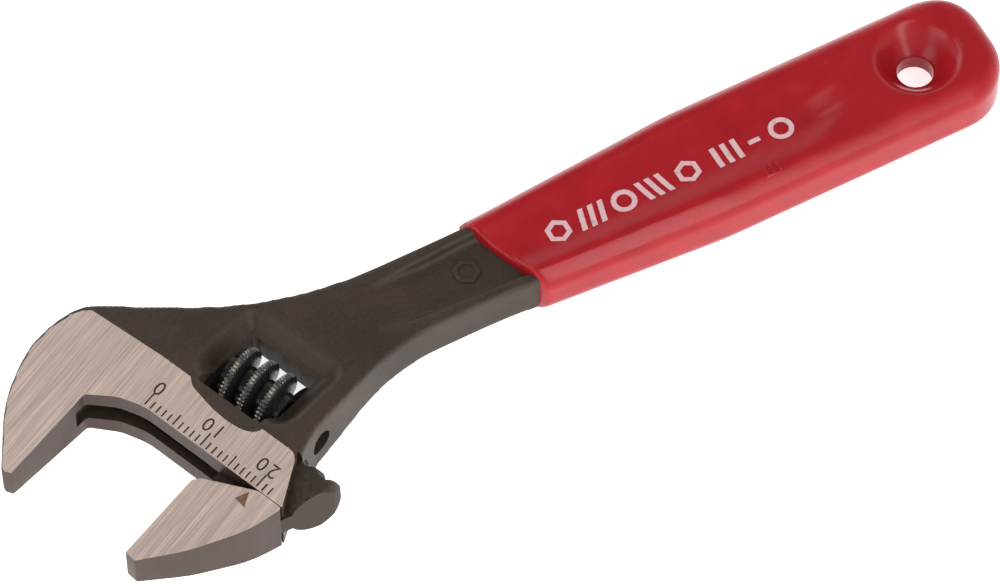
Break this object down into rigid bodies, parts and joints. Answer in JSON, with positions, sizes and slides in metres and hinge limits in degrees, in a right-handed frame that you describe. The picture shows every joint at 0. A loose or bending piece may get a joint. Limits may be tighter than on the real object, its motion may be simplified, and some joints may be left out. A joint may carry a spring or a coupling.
{
  "type": "adjustable wrench",
  "caption": "Adjustable wrench: forged body with fixed jaw, sliding jaw on a toothed rail driven by a knurled worm, and a dip-moulded vinyl grip.",
  "frame": {"origin": "centre of the hanging hole, halfway through its thickness", "axes": "+X along the handle from the head towards the grip's end, +Y towards the fixed jaw's side, +Z through the thickness, out of the face with the scale"},
  "size_m": [0.153, 0.0417, 0.0114],
  "materials": {
    "black_forging": "satin black phosphate, with bright ground faces round the jaws",
    "ground_steel": "ground, fine parallel grain",
    "oiled_steel": "blackened, knurled, oiled",
    "pin_steel": "turned",
    "spring_steel": "drawn wire",
    "vinyl": "glossy dip-moulded vinyl"
  },
  "bodies": {
    "frame": {"body": "black_forging", "grip": "vinyl", "worm_pin": "pin_steel", "worm_spring": "spring_steel"},
    "jaw": {"moving_jaw": "ground_steel"},
    "screw": {"worm": "oiled_steel"}
  },
  "joints": [
    {"name": "worm_spin", "type": "hinge", "parent": "frame", "child": "screw", "pos_m": [-0.1052, -0.00256, 0], "axis": [-0.3714, 0.9285, 0], "range_deg": [-2251, 226]},
    {"name": "jaw_slide", "type": "slide", "parent": "frame", "child": "jaw", "axis": [0.3714, -0.9285, 0], "range_m": [-0.02, 0.002]}
  ],
  "couplings": [
    {"joint": "worm_spin", "follows": "jaw_slide", "rad_per_m": 1963.5}
  ]
}
